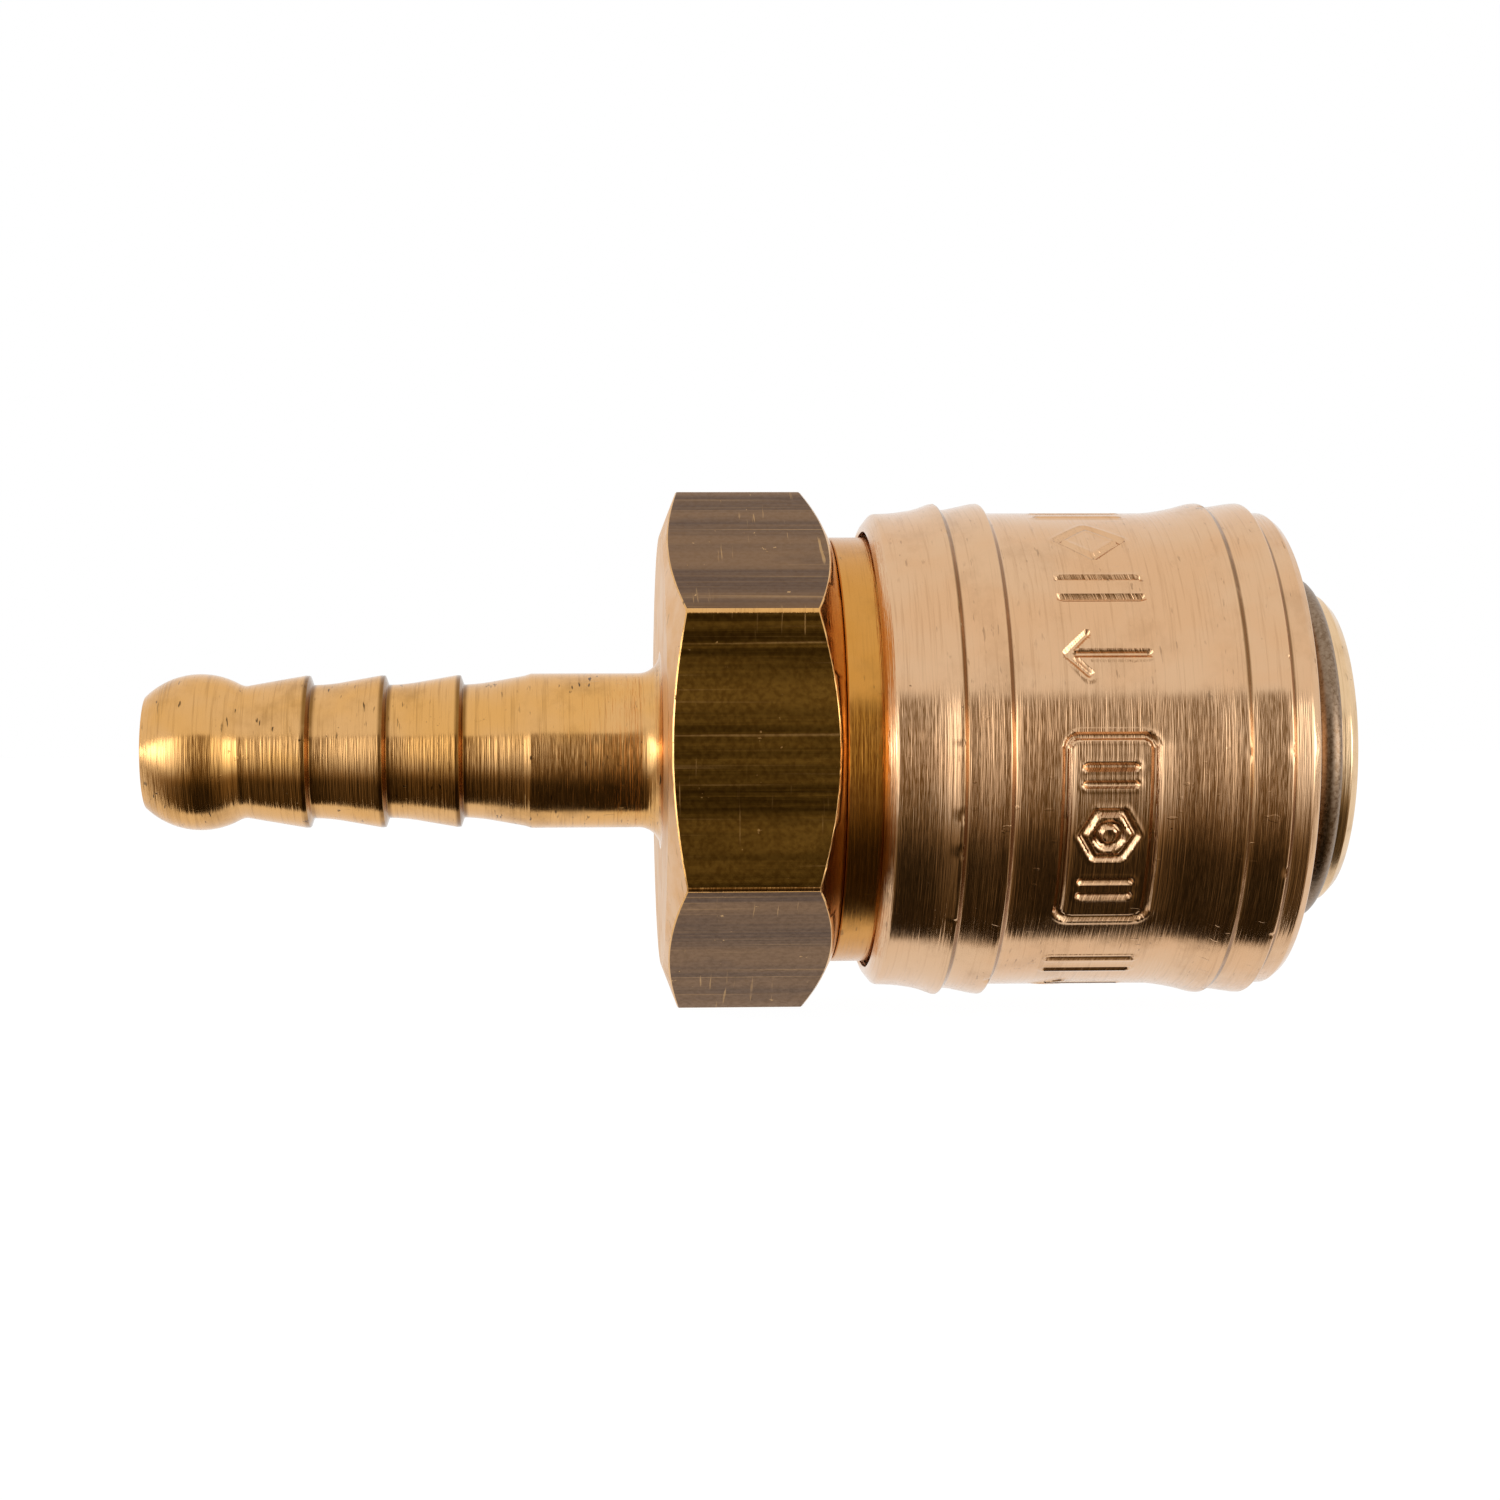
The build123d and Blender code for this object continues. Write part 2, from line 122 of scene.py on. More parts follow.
def makeNode(tree, kind, settings=None, sockets=None, out=0):
    node = tree.nodes.new(kind)
    for key, value in (settings or {}).items():
        setattr(node, key, value)
    for key, value in (sockets or {}).items():
        target = node.inputs[key]
        if isinstance(value, Socket):
            tree.links.new(value.out, target)
        elif target.type == "RGBA" and len(value) == 3:
            target.default_value = (*value, 1.0)
        else:
            target.default_value = value
    return Socket(tree, node.outputs[out])


def startMaterial(name):
    material = bpy.data.materials.new(name)
    material.use_nodes = True
    tree = material.node_tree
    tree.nodes.clear()
    place = makeNode(tree, "ShaderNodeTexCoord", out=3)  # Object coordinates
    along = makeNode(tree, "ShaderNodeSeparateXYZ", None, {"Vector": place})
    across = Socket(tree, along.out.node.outputs[1])
    up = Socket(tree, along.out.node.outputs[2])
    squared = across * across + up * up
    radius = squared.math("SQRT", squared)
    return material, tree, place, (along, across, up), radius


# noise pulled out along an axis; scale is in cells per metre, one number or one for each axis
def stretched(tree, place, scale, detail=2.0, roughness=0.5, offset=(0, 0, 0)):
    if not isinstance(scale, tuple):
        scale = (scale,) * 3
    mapped = makeNode(tree, "ShaderNodeMapping", None, {"Vector": place, "Location": offset, "Scale": scale})
    sockets = {"Vector": mapped, "Scale": 1.0, "Detail": detail, "Roughness": roughness}
    return makeNode(tree, "ShaderNodeTexNoise", None, sockets)


def latheGrain(tree, axes, radius, drag):  # lines round the axis on a cylinder and rings on a face
    along, across, up = axes
    cut = along + radius * 0.7
    return makeNode(tree, "ShaderNodeCombineXYZ", None, {0: cut, 1: across * drag, 2: up * drag})


def endMaterial(tree, colour, roughness, metallic=1.0, bumps=()):
    normal = None
    for height, distance in bumps:  # distance in metres
        sockets = {"Height": height, "Distance": distance, "Strength": 1.0}
        if normal:
            sockets["Normal"] = normal
        normal = makeNode(tree, "ShaderNodeBump", None, sockets)
    sockets = {"Base Color": colour, "Roughness": roughness, "Metallic": metallic}
    if normal:
        sockets["Normal"] = normal
    shader = makeNode(tree, "ShaderNodeBsdfPrincipled", None, sockets)
    output = tree.nodes.new("ShaderNodeOutputMaterial")
    tree.links.new(shader.out, output.inputs["Surface"])


# brass, turned on a lathe
def turnedBrass(name, look, steps=()):  # steps: where the colour is darkened in the corners, in mm along the axis: painted shade, with some grime at the sleeve's steps
    material, tree, place, axes, radius = startMaterial(name)
    x = axes[0]
    grain = latheGrain(tree, axes, radius, 0.03)
    waves = stretched(tree, grain, look["linesPerMetre"] * 0.25, 2.0, 0.6)
    lines = stretched(tree, grain, look["linesPerMetre"], 3.0, 0.65, (3, 1, 2))
    patches = stretched(tree, place, (160, 220, 220), 3.0, 0.6)
    cloud = stretched(tree, place, (420, 300, 300), 4.0, 0.65, (5, 0, 1))
    pits = stretched(tree, place, 2300, 3.0, 0.6, (1, 7, 3)).rise(look["pits"], look["pits"] + 0.05)
    dashes = stretched(tree, place, (5200, 1100, 1100), 2.0, 0.5, (6, 2, 8)).rise(0.66, 0.72)
    scratch = stretched(tree, place, (900, 5200, 1700), 2.0, 0.4, (9, 4, 2)).rise(0.69, 0.73)
    scratch = scratch * patches.rise(0.45, 0.62)
    colour = patches.rise(0.35, 0.65).tint(look["colour"], look["warm"])
    # the body's painted shade gives way to its paler colour towards the nose
    if "nose" in look:
        noseStart, noseEnd = look["noseBlend"]
        colour = x.rise(noseStart * mm, noseEnd * mm).tint(colour, look["nose"])
    colour = (cloud.rise(0.48, 0.78) * look["tarnish"]).tint(colour, look["tarnished"])
    colour = (lines.rise(0.50, 0.72) * look["lineShade"]).tint(colour, look["tarnished"])
    marked = (dashes * cloud.rise(0.42, 0.6) * look["dashes"]).most(pits * 0.85)
    colour = marked.tint(colour, look["pitColour"])
    # darken the colour beside each step: painted shade in the corners, with some grime on the sleeve
    shadeAndGrime = 0.0
    for step in steps:
        shadeAndGrime = (x - step * mm).size().rise(look["reach"] * mm, look["reach"] * 0.45 * mm) + shadeAndGrime
    if steps:
        colour = (shadeAndGrime * cloud.rise(0.25, 0.5, 0.45, 0.85)).tint(colour, look["shadeAndGrime"])
    roughness = cloud.rise(0.3, 0.8, look["roughness"] - 0.03, look["roughness"] + 0.09)
    bumps = (
        (waves, look["waveDepth"] * mm),
        (lines, look["lineDepth"] * mm),
        (scratch - pits, 0.006 * mm),
    )
    endMaterial(tree, colour, roughness, 1.0, bumps)
    return material


# depths in mm; pits is the noise level where a pit starts, so a lower one means more pits
sleeveLook = {
    "colour": (0.73, 0.465, 0.27), "warm": (0.725, 0.435, 0.235),
    "tarnished": (0.36, 0.19, 0.08), "tarnish": 0.28,
    "linesPerMetre": 7400, "lineDepth": 0.032, "waveDepth": 0.016, "lineShade": 0.25, "roughness": 0.13,
    "pits": 0.745, "dashes": 0.35, "pitColour": (0.07, 0.035, 0.012),
    # reach and the darker colour: painted shade at the sleeve's steps, with some grime
    "reach": 0.18, "shadeAndGrime": (0.20, 0.10, 0.03),
}
tailLook = {
    "colour": (0.74, 0.42, 0.165), "warm": (0.745, 0.395, 0.12),
    "tarnished": (0.30, 0.14, 0.03), "tarnish": 0.45,
    "linesPerMetre": 7000, "lineDepth": 0.036, "waveDepth": 0.016, "lineShade": 0.35, "roughness": 0.15,
    "pits": 0.705, "dashes": 0.95, "pitColour": (0.07, 0.035, 0.012),
    # reach and the darker colour: painted shade in the barb roots
    "reach": 0.36, "shadeAndGrime": (0.17, 0.07, 0.010),
}
bodyLook = {
    # colour and warm are painted darker and more orange than the brass, as painted shade on the collar
    # between sleeve and hexagon
    "colour": (0.63, 0.295, 0.065), "warm": (0.60, 0.265, 0.045),
    "tarnished": (0.32, 0.15, 0.03), "tarnish": 0.4,
    "linesPerMetre": 9000, "lineDepth": 0.020, "waveDepth": 0.006, "lineShade": 0.22, "roughness": 0.18,
    "pits": 0.74, "dashes": 0.4, "pitColour": (0.07, 0.035, 0.012),
    "nose": (0.80, 0.56, 0.33), "noseBlend": (-8, -5),  # painted shade: the rest of the body is painted darker and more orange; the nose keeps the paler colour, blending in from here to here
}


# the hexagon's rear face and chamfer: faced off, matte and finely scratched
def facedBrass(look):
    material, tree, place, axes, radius = startMaterial("facedBrass")
    grain = latheGrain(tree, axes, radius, 0.05)
    lines = stretched(tree, grain, 7000, 3.0, 0.6)
    cloud = stretched(tree, place, 500, 4.0, 0.65)
    grit = stretched(tree, place, 5200, 2.0, 0.6)
    hairs = stretched(tree, place, (2600, 5200, 700), 2.0, 0.5, (1, 4, 4)).rise(0.64, 0.70)
    pits = stretched(tree, place, 2000, 2.0, 0.5, (6, 6, 1)).rise(0.73, 0.76)
    colour = cloud.rise(0.35, 0.65).tint(look["colour"], look["warm"])
    colour = (hairs * 0.4).most(pits * 0.8).tint(colour, look["marked"])
    roughness = cloud.rise(0.3, 0.7, look["roughness"] - 0.05, look["roughness"] + 0.06)
    bumps = (lines, 0.003 * mm), (grit, 0.002 * mm), (-hairs, 0.003 * mm)
    endMaterial(tree, colour, roughness, 1.0, bumps)
    return material


facedLook = {
    "colour": (0.78, 0.50, 0.28), "warm": (0.76, 0.45, 0.21), "marked": (0.25, 0.13, 0.05), "roughness": 0.42,
}


# the hexagon's flats, still dark from the drawn bar
def drawnFlats(look):
    material, tree, place, axes = startMaterial("drawnFlats")[:4]
    streaks = stretched(tree, place, (35, 3300, 3300), 4.0, 0.65)
    bands = stretched(tree, place, (10, 380, 380), 3.0, 0.6, (2, 5, 1))
    blotches = stretched(tree, place, (260, 420, 420), 3.0, 0.6, (7, 1, 3))
    grit = stretched(tree, place, 4200, 2.0, 0.6)
    worn = stretched(tree, place, (45, 5200, 5200), 2.0, 0.5, (8, 2, 5)).rise(0.62, 0.74)
    crossed = stretched(tree, place, (5600, 260, 260), 2.0, 0.5, (4, 4, 9)).rise(0.65, 0.71)
    sparse = stretched(tree, place, (150, 240, 240), 2.0, 0.5, (1, 1, 6)).rise(0.47, 0.6)
    chips = stretched(tree, place, 1500, 3.0, 0.7, (3, 9, 4)).rise(0.69, 0.73)
    corner = look["corner"] * mm
    side = axes[2].size().rise(corner * 0.99, corner * 1.01)  # the four flats that aren't upright, which get a browner, less dark copy of the patina as painted light
    # painted light: the slanted flats take browner, less dark colours than the upright ones
    dark = side.tint(look["dark"], look["litSlantDark"])
    light = side.tint(look["light"], look["litSlantLight"])
    colour = bands.rise(0.40, 0.60).tint(dark, light)
    colour = (streaks.rise(0.42, 0.70) * 0.7).tint(colour, light)
    colour = (blotches.rise(0.52, 0.75) * 0.5).tint(colour, dark)
    bare = (worn * 0.35).most(crossed * sparse * 0.5).most(chips * 0.75)
    colour = bare.tint(colour, look["bare"])
    roughness = grit.rise(0.3, 0.7, look["roughness"] - 0.06, look["roughness"] + 0.08)
    bumps = (streaks, 0.004 * mm), (grit, 0.0015 * mm), (-bare, 0.003 * mm)
    endMaterial(tree, colour, roughness, 1.0, bumps)
    return material


flatsLook = {
    "dark": (0.060, 0.028, 0.004), "light": (0.230, 0.118, 0.019),
    # the slanted flats' colours, painted browner and less dark than the upright ones as painted light
    "litSlantDark": (0.095, 0.044, 0.017), "litSlantLight": (0.20, 0.100, 0.036),
    "bare": (0.68, 0.40, 0.15), "roughness": 0.34,
    "corner": tailHigh.y * tan(pi / 6),  # half the width of a flat, in mm
}


# steel and rubber
def steel(name, colour, mottled, roughness, scale):
    material, tree, place = startMaterial(name)[:3]
    mottle = stretched(tree, place, scale, 4.0, 0.7)
    pits = stretched(tree, place, scale * 3, 2.0, 0.6, (2, 3, 4))
    shade = mottle.rise(0.35, 0.68).tint(colour, mottled)
    rough = mottle.rise(0.3, 0.7, roughness - 0.05, roughness + 0.1)
    endMaterial(tree, shade, rough, 1.0, ((pits, 0.002 * mm * roughness),))
    return material


def rubber(name, colour):
    material, tree, place = startMaterial(name)[:3]
    bloom = stretched(tree, place, 900, 4.0, 0.6)
    faded = tuple(part * 1.6 + 0.01 for part in colour)
    shade = bloom.rise(0.3, 0.75).tint(colour, faded)
    endMaterial(tree, shade, bloom.rise(0.3, 0.7, 0.38, 0.55), 0.0, ((bloom, 0.004 * mm),))
    return material


sleeveBack, sleeveFore = sleeveLow.x + 1.45, sleeveHigh.x - 6.52  # feet of the sleeve's two pairs of ridges
# where the brass is painted darker: painted shade at the sleeve's steps and in the barb roots
sleeveSteps = (sleeveBack + 2.13, sleeveBack + 4.28, sleeveFore + 2.56, sleeveFore + 4.62)
barbRoots = [tailLow.x + 15.31 - n * 3.66 for n in range(3)]
brassSleeve = turnedBrass("brassSleeve", sleeveLook, sleeveSteps)
brassTail = turnedBrass("brassTail", tailLook, barbRoots)
brassBody = turnedBrass("brassBody", bodyLook)
faced = facedBrass(facedLook)
hexFlats = drawnFlats(flatsLook)
ringWire = steel("ringWire", (0.19, 0.12, 0.07), (0.33, 0.235, 0.16), 0.30, 5200)
springWire = steel("springWire", (0.42, 0.42, 0.43), (0.55, 0.55, 0.56), 0.28, 900)
ballSteel = steel("ballSteel", (0.62, 0.62, 0.64), (0.68, 0.68, 0.70), 0.10, 500)
blackRubber = rubber("blackRubber", (0.012, 0.012, 0.012))
redFibre = rubber("redFibre", (0.25, 0.07, 0.03))
print("stage: materials")


# turning: an outline in mm, as (along, radius, rounding), spun about the axis
def outlineOf(points):
    shape = bmesh.new()
    verts = [shape.verts.new((x * mm, 0, r * mm)) for x, r, rounding in points]
    for here, following in zip(verts, verts[1:] + verts[:1]):
        shape.edges.new((here, following))
    for rounding in sorted({p[2] for p in points if p[2]}):
        corners = [v for v, p in zip(verts, points) if p[2] == rounding]
        settings = {"offset": rounding * mm, "offset_type": "OFFSET", "segments": 3, "profile": 0.5}
        bmesh.ops.bevel(shape, geom=corners, affect="VERTICES", material=-1, clamp_overlap=True, **settings)
    return shape


def spun(points, steps, start=0.0, sweep=360.0):  # start and sweep in degrees from straight up, towards -Y
    shape = outlineOf(points)
    turn = Matrix.Rotation(radians(start), 3, "X")
    bmesh.ops.rotate(shape, verts=shape.verts[:], cent=(0, 0, 0), matrix=turn)
    shares = max(1, steps // 55)  # a long spin is slow, so one share is spun and then copied round
    axis = {"cent": (0, 0, 0), "axis": (1, 0, 0), "angle": radians(sweep / shares), "steps": steps // shares}
    bmesh.ops.spin(shape, geom=shape.verts[:] + shape.edges[:], use_merge=False, **axis)
    share = shape.verts[:] + shape.edges[:] + shape.faces[:]
    for n in range(1, shares):
        copied = bmesh.ops.duplicate(shape, geom=share)["geom"]
        copies = [v for v in copied if isinstance(v, bmesh.types.BMVert)]
        turn = Matrix.Rotation(radians(sweep / shares * n), 3, "X")
        bmesh.ops.rotate(shape, verts=copies, cent=(0, 0, 0), matrix=turn)
    bmesh.ops.remove_doubles(shape, verts=shape.verts[:], dist=1e-6)
    return shape


def arc(x, r, radius, start, end, count):  # points of a round stretch; angles from +X towards outwards
    angles = [radians(start + (end - start) * n / count) for n in range(count + 1)]
    return [(x + radius * cos(a), r + radius * sin(a), 0) for a in angles]


def finishPiece(shape, name, node, body, materials, sharp=32, weighted=True):
    bmesh.ops.recalc_face_normals(shape, faces=shape.faces[:])
    mesh = bpy.data.meshes.new(name)
    shape.to_mesh(mesh)
    shape.free()
    mesh.shade_smooth()
    mesh.set_sharp_from_angle(angle=radians(sharp))
    for material in materials:
        mesh.materials.append(material)
    piece = bpy.data.objects.new(name, mesh)
    bpy.context.scene.collection.objects.link(piece)
    if weighted:
        weigh = piece.modifiers.new("weigh", "WEIGHTED_NORMAL")
        weigh.keep_sharp, weigh.weight = True, 80
    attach(piece, body)
    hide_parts(node)
    print("made", name, len(mesh.polygons))
    return piece


# the thread between tail and body, as rings, in mm
thread = {"pitch": 1.0, "teeth": 3, "lead": 0.25, "flank": 0.45, "top": 0.1}

# hose tail with its hexagon; radii and lengths in mm, slopes in degrees
tail = {
    "steps": 192,
    "hexLength": 8.2, "hexEdge": 0.13, "hexWear": 0.055, "arcEdge": 0.05,
    "rearFace": 10.5, "rearSlope": 21, "frontSlope": 30, "collar": 10.38,
    "land": 3.775, "landLength": 6.6, "landEdge": 0.1, "rootRadius": 1.05, "taperLength": 2.95, "root": 3.25,
    "barb": 3.71, "barbPitch": 3.66, "barbs": 3, "step": 0.26, "rootFlat": 0.7, "neck": 3.2,
    "ball": 3.8, "tipFace": 2.63, "tipEdge": 0.35,
    "bore": 2.1, "chamber": 6.4, "chamberLength": 7.08, "seat": 4.9, "seatDepth": 1.3, "seatLead": 0.6,
    "spigot": 8.4, "crest": 8.94,
}


def hexRadius(angle, flat):  # distance from the axis to the hexagon's wall; its corners are up and down
    return flat / cos((angle % (pi / 3)) - pi / 6)


def makeTail(t):
    flat = tailHigh.y
    hexFront, tip = bodyLow.x - seam, tailLow.x
    hexRear = hexFront - t["hexLength"]
    corner = flat / cos(pi / 6)
    landEnd = hexRear - t["landLength"]
    firstRoot = landEnd - t["taperLength"]
    ballCentre = tip + t["tipFace"]
    edge = degrees(acos(-t["tipFace"] / t["ball"]))
    points = [(hexRear, t["land"] + t["rootRadius"], 0)]
    points += arc(hexRear - t["rootRadius"], t["land"] + t["rootRadius"], t["rootRadius"], 0, -90, 10)[1:]
    points += [(landEnd + 3 * t["landEdge"], t["land"], 0.04), (landEnd, t["land"] - t["landEdge"], 0.04)]
    points += [(firstRoot + t["rootFlat"], t["root"] + 0.02, 0.6), (firstRoot, t["root"], 0.05)]
    for n in range(t["barbs"]):
        crest = firstRoot - t["step"] - n * t["barbPitch"]
        points += [(crest + 0.1, t["barb"] - 0.01, 0.035), (crest - 0.1, t["barb"], 0.035)]
        if n < t["barbs"] - 1:
            foot = crest - t["barbPitch"] + t["step"]
            points += [(foot + t["rootFlat"], t["root"], 0.6), (foot, t["root"], 0.05)]
    neck = crest - t["barbPitch"] + 2 * t["step"]
    points.append((neck + 0.12, t["neck"], 0.12))
    start = degrees(acos((neck - ballCentre) / t["ball"]))
    points += arc(ballCentre, 0, t["ball"], start + 3, edge, 22)
    bore, tipEdge = t["bore"], t["tipEdge"]
    points += [(tip, bore + tipEdge, 0.06), (tip + tipEdge, bore, 0.06)]
    # the inside: bore, spring seat, valve chamber, then the threaded spigot outside it
    spigotEnd = tailHigh.x
    floor = spigotEnd - t["chamberLength"]
    seat = floor - t["seatDepth"]
    points += [(seat - t["seatDepth"], bore, 0), (seat, bore + t["seatDepth"], 0)]
    points += [(seat, t["seat"], 0.1), (floor - t["seatLead"], t["seat"], 0)]
    points += [(floor, t["chamber"], 0.1), (spigotEnd, t["chamber"], 0.1), (spigotEnd, t["spigot"], 0.1)]
    for n in range(thread["teeth"]):
        x = spigotEnd - thread["lead"] - n * thread["pitch"]
        top = x - thread["flank"]
        points += [(x, t["spigot"], 0), (top, t["crest"], 0), (top - thread["top"], t["crest"], 0)]
    points += [(spigotEnd - thread["lead"] - thread["teeth"] * thread["pitch"], t["spigot"], 0)]
    points += [(hexFront, t["spigot"], 0), (hexFront, t["collar"] - 0.1, 0.05)]
    # two rings at each end that become the hexagon's curved edges: one on the cone, one on the flats
    onCone, onFlat = 0.9, 1.1
    points += [(hexFront - onCone, corner, 0), (hexFront - onFlat, corner, 0)]
    points += [(hexRear + onFlat, corner, 0), (hexRear + onCone, corner, 0), (hexRear, t["rearFace"], 0.04)]
    shape = spun(points, t["steps"])
    rings, tips = {}, set()
    for v in shape.verts:
        if abs(hypot(v.co.y, v.co.z) / mm - corner) < 0.01:
            x = v.co.x / mm
            front = x > (hexFront + hexRear) / 2
            inset = hexFront - x if front else x - hexRear
            rings[v] = front, inset < (onCone + onFlat) / 2  # which end, and whether on its cone
    column = 2 * pi / t["steps"]
    for v, (front, cone) in rings.items():
        angle = atan2(v.co.y, v.co.z)
        away = (angle + pi / 6) % (pi / 3) - pi / 6  # from the nearest corner
        if abs(away) < column * 0.5:
            tips.add(v)
            r = corner - t["hexWear"]
        else:
            if abs(away) < column * 1.5:  # this column is drawn in to the corner's worn edge
                angle += copysign(t["hexEdge"] / corner, away) - away
            r = hexRadius(angle, flat)
        if cone:
            r -= t["arcEdge"]
        face, slope = (t["collar"], t["frontSlope"]) if front else (t["rearFace"], t["rearSlope"])
        x = (r - face) * tan(radians(slope))
        if not cone:
            x += t["arcEdge"]
        x = hexFront - x if front else hexRear + x
        v.co = (x * mm, r * sin(angle) * mm, r * cos(angle) * mm)
    for face in shape.faces:
        onRings = [rings.get(v) for v in face.verts]
        if all(onRings):
            isFlat = not any(cone for front, cone in onRings) and not tips.intersection(face.verts)
            face.material_index = int(isFlat)
        elif (False, True) in onRings or all(abs(v.co.x / mm - hexRear) < 0.01 for v in face.verts):
            face.material_index = 2
    finishPiece(shape, "tailPiece", "hose_tail", "coupler", [brassTail, hexFlats, faced])


# coupler body: collar, spring land, nose and everything the plug meets
body = {
    "steps": 192,
    "nose": 7.55, "noseChamfer": 0.42, "mouth": 6.0, "mouthChamfer": 0.3, "socket": 5.0,
    "land": 8.4, "guideEnd": -11.57, "guideLead": 0.85,
    "collar": 10.38, "collarLength": 5.9, "collarEdge": 0.3, "rearEdge": 0.07,
    "sealFront": -11.37, "sealWidth": 2.394, "sealDepth": 6.47,
    "plugStop": -14.66, "stopWidth": 1.0, "port": 4.3, "chamber": 6.4, "gasket": -19.7,
    "threadCore": 8.46, "threadCrest": 9.0,
    "groove": 0.67, "ringMean": 7.8,
    "slot": 2.05, "slotLand": 0.2, "ballOrbit": 6.15, "stroke": 1.5, "lift": 0.95, "slotReach": 2.2,
}


def makeBody(b):
    rear = bodyLow.x
    collar, edge = b["collar"], b["rearEdge"]
    collarFront = rear - seam + b["collarLength"]
    cone = ballX + b["slot"] + b["slotLand"] + b["mouth"] - b["socket"]
    sink = degrees(acos((b["ringMean"] - b["nose"]) / b["groove"]))
    points = [(0, b["nose"] - b["noseChamfer"], 0.05), (-b["noseChamfer"], b["nose"], 0.05)]
    points += arc(ringX, b["ringMean"], b["groove"], -90 + sink, -90 - sink, 12)
    points += [(b["guideEnd"], b["nose"], 0), (b["guideEnd"] - b["guideLead"], b["land"], 0.1)]
    points += [(collarFront, b["land"], 0.1), (collarFront, collar - b["collarEdge"], 0.08)]
    points += [(collarFront - b["collarEdge"], collar, 0.08), (rear + edge, collar, 0.03)]
    points += [(rear, collar - edge, 0.03), (rear, b["threadCore"], 0)]
    front = tailHigh.x - thread["lead"]
    for n in reversed(range(thread["teeth"])):
        x = front - n * thread["pitch"]
        top = x - thread["flank"]
        points += [(x - thread["pitch"], b["threadCore"], 0)]
        points += [(top - thread["top"], b["threadCrest"], 0), (top, b["threadCrest"], 0)]
    points += [(front, b["threadCore"], 0), (b["gasket"], b["threadCore"], 0), (b["gasket"], b["chamber"], 0)]
    portEnd = b["plugStop"] - b["stopWidth"]
    points += [(portEnd - b["chamber"] + b["port"], b["chamber"], 0), (portEnd, b["port"], 0.05)]
    points += [(b["plugStop"], b["port"], 0.05), (b["plugStop"], b["socket"], 0)]
    sealRear = b["sealFront"] - b["sealWidth"]
    points += [(sealRear, b["socket"], 0.06), (sealRear, b["sealDepth"], 0.1)]
    points += [(b["sealFront"], b["sealDepth"], 0.1), (b["sealFront"], b["socket"], 0.06)]
    points += [(cone - b["mouth"] + b["socket"], b["socket"], 0.05), (cone, b["mouth"], 0.05)]
    points += [(-b["mouthChamfer"], b["mouth"], 0.04), (0, b["mouth"] + b["mouthChamfer"], 0.04)]
    shape = spun(points, b["steps"])
    slotMesh = bpy.data.meshes.new("slots")
    cutters = bmesh.new()
    for n in range(4):
        turn = pi / 2 * (n + 0.5)
        out = Vector((0, cos(turn), sin(turn)))
        locked = Vector((ballX, 0, 0)) + out * b["ballOrbit"]
        freed = locked + Vector((-b["stroke"], 0, 0)) + out * b["lift"]
        hull = bmesh.new()
        for centre in (locked, freed, freed + out * b["slotReach"]):
            at = Matrix.Translation(centre * mm)
            bmesh.ops.create_icosphere(hull, subdivisions=3, radius=b["slot"] * mm, matrix=at)
        bmesh.ops.delete(hull, geom=hull.edges[:], context="EDGES_FACES")
        bmesh.ops.convex_hull(hull, input=hull.verts[:])
        bmesh.ops.delete(hull, geom=[v for v in hull.verts if not v.link_faces], context="VERTS")
        bmesh.ops.recalc_face_normals(hull, faces=hull.faces[:])
        hull.to_mesh(slotMesh)
        hull.free()
        cutters.from_mesh(slotMesh)
    cutters.to_mesh(slotMesh)
    cutters.free()
    slots = bpy.data.objects.new("slots", slotMesh)
    bpy.context.scene.collection.objects.link(slots)
    bmesh.ops.recalc_face_normals(shape, faces=shape.faces[:])
    solid = bpy.data.meshes.new("turnedBody")
    shape.to_mesh(solid)
    shape.free()
    blank = bpy.data.objects.new("turnedBody", solid)
    bpy.context.scene.collection.objects.link(blank)
    cut = blank.modifiers.new("cut", "BOOLEAN")
    cut.operation, cut.solver, cut.object = "DIFFERENCE", "EXACT", slots
    shape = bmesh.new()
    shape.from_object(blank, bpy.context.evaluated_depsgraph_get())
    bpy.data.objects.remove(blank)
    bpy.data.objects.remove(slots)
    finishPiece(shape, "bodyPiece", "coupler_body", "coupler", [brassBody], sharp=28)


# locking sleeve, with its ridges, stamped marks and knocks
# ridges are (along from their foot, above the wall, rounding); crests are where knocks land on them
sleeve = {
    "wall": 11.55, "ridge": 0.48, "skirt": 10.65, "bore": 7.63,
    "pocket": 7.10, "slot": 2.05, "shoulder": -9.92,
    "skirtEdge": 0.08, "rearDrop": 0.55, "rearEdge": 0.5,
    "backRidges": (
        (0, 0, 0.3), (1.1, 0.17, 0.3), (1.88, 0.46, 0.06), (2.02, 0.48, 0.06), (2.24, 0.16, 0.06),
        (2.6, 0.17, 0.2), (3.85, 0.45, 0.1), (4.15, 0.48, 0.06), (4.4, 0.02, 0.08), (4.75, 0, 0.1),
    ),
    "foreRidges": (
        (0, 0, 0.4), (1.2, 0.20, 0.4), (2.1, 0.45, 0.12), (2.45, 0.48, 0.06), (2.66, 0.28, 0.06),
        (3.1, 0.30, 0.2), (4.1, 0.46, 0.1), (4.45, 0.48, 0.06), (4.7, 0.02, 0.07),
    ),
    "rimBack": 0.62, "rimLead": 0.38, "rim": 11.25, "frontFace": 9.15, "boreEdge": 0.15,
    "fineFrom": -10, "fineSweep": 200, "fineSteps": 420, "coarseSteps": 60,  # degrees from straight up
    "bandMiddle": -12.55, "bandWidth": 4.9, "bandRows": 52,
    "stampDepth": 0.17, "stampLine": 0.30, "burr": 0.035, "longestMark": 5.2,
    "knocks": 22, "knockWidth": (0.1, 0.7), "knockDepth": (0.02, 0.08), "knockLength": 0.25,
    "backCrests": (2.0, 4.1), "foreCrests": (2.4, 4.45),
}


